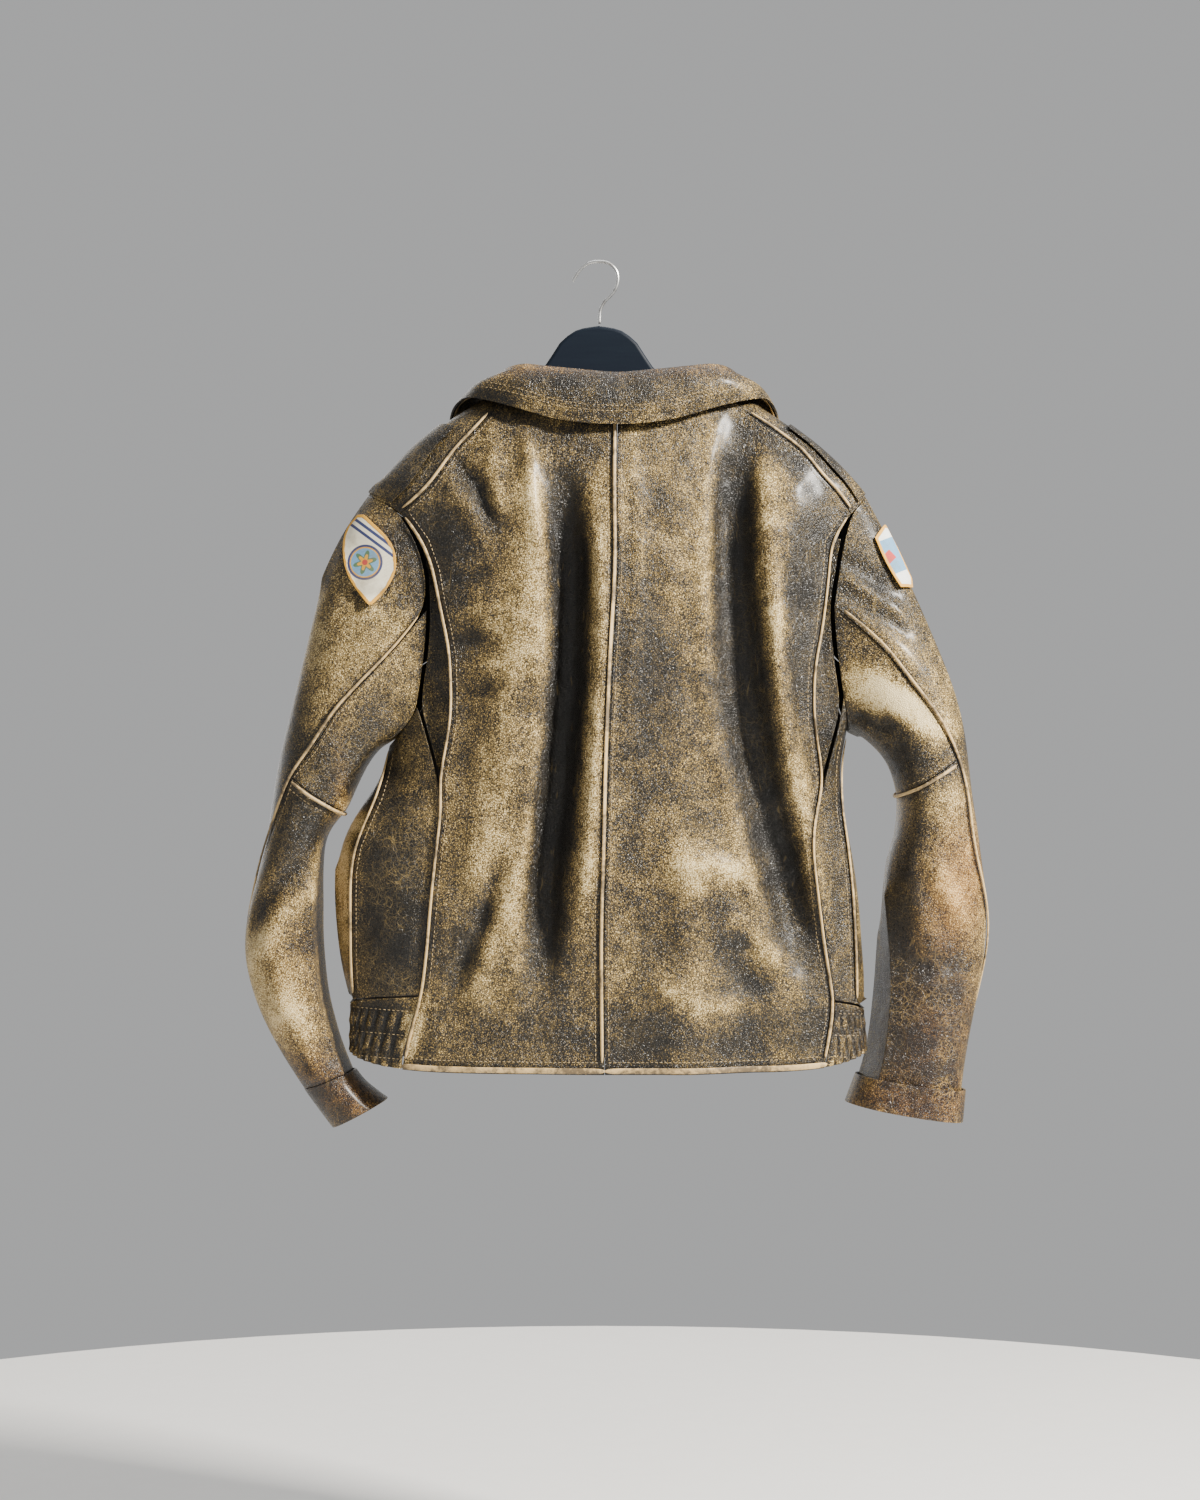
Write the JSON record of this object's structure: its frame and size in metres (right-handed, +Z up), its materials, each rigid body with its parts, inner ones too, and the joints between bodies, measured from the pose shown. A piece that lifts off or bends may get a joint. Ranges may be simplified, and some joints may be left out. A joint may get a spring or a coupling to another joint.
{
  "type": "worn leather jacket on a wooden hanger",
  "caption": "Short zip-front leather jacket with piped panels, flared pleats, stand-fall collar and two arm patches, hung on a plain wooden hanger by its wire hook.",
  "frame": {"origin": "the top of the inside of the hanger's hook, where a rail carries it", "axes": "+Z up, -Y out of the jacket's back towards the camera, +X to the jacket's own right, which is the right of the picture"},
  "size_m": [0.7291, 0.1511, 0.8433],
  "materials": {
    "leather": "worn dark leather, rubbed tan along its edges and folds",
    "worn_leather": "the same leather with its colour rubbed off",
    "piping": "narrow leather edging rubbed to tan",
    "patch_cloth": "embroidered cloth",
    "zip_cloth": "woven cotton tape",
    "zip_metal": "dull, aged",
    "painted_wood": "dark blue-black paint, scuffed",
    "steel_wire": "plain drawn wire"
  },
  "bodies": {
    "jacket": {"back_left": "leather", "gusset_left": "leather", "side_panel_left": "leather", "elastic_left": "leather", "front_left": "leather", "yoke_left": "leather", "epaulette_left": "leather", "sleeve_outer_left": "leather", "sleeve_under_upper_left": "worn_leather", "sleeve_under_lower_left": "leather", "cuff_left": "leather", "arm_patch_left": "patch_cloth", "piping_back_edge_left": "piping", "piping_yoke_left": "piping", "piping_sleeve_left": "piping", "piping_elbow_left": "piping", "piping_side_left": "piping", "hem_band_left": "piping", "back_right": "leather", "gusset_right": "leather", "side_panel_right": "leather", "elastic_right": "leather", "front_right": "leather", "yoke_right": "leather", "epaulette_right": "leather", "sleeve_outer_right": "leather", "sleeve_under_upper_right": "worn_leather", "sleeve_under_lower_right": "leather", "cuff_right": "leather", "arm_patch_right": "patch_cloth", "piping_back_edge_right": "piping", "piping_yoke_right": "piping", "piping_sleeve_right": "piping", "piping_elbow_right": "piping", "piping_side_right": "piping", "hem_band_right": "piping", "piping_centre_back": "piping", "collar": "leather", "collar_binding": "piping", "zip_tape": "zip_cloth", "zip_chain": "zip_metal", "zip_slider": "zip_metal", "zip_bridge": "zip_metal", "hanger_body": "painted_wood", "hanger_hook": "steel_wire"},
    "pull": {"zip_pull": "zip_metal"}
  },
  "joints": [
    {"name": "pull_swing", "type": "hinge", "parent": "jacket", "child": "pull", "pos_m": [0.017, 0.06321, -0.213], "axis": [1, 0, 0], "range_deg": [0, 150]}
  ]
}
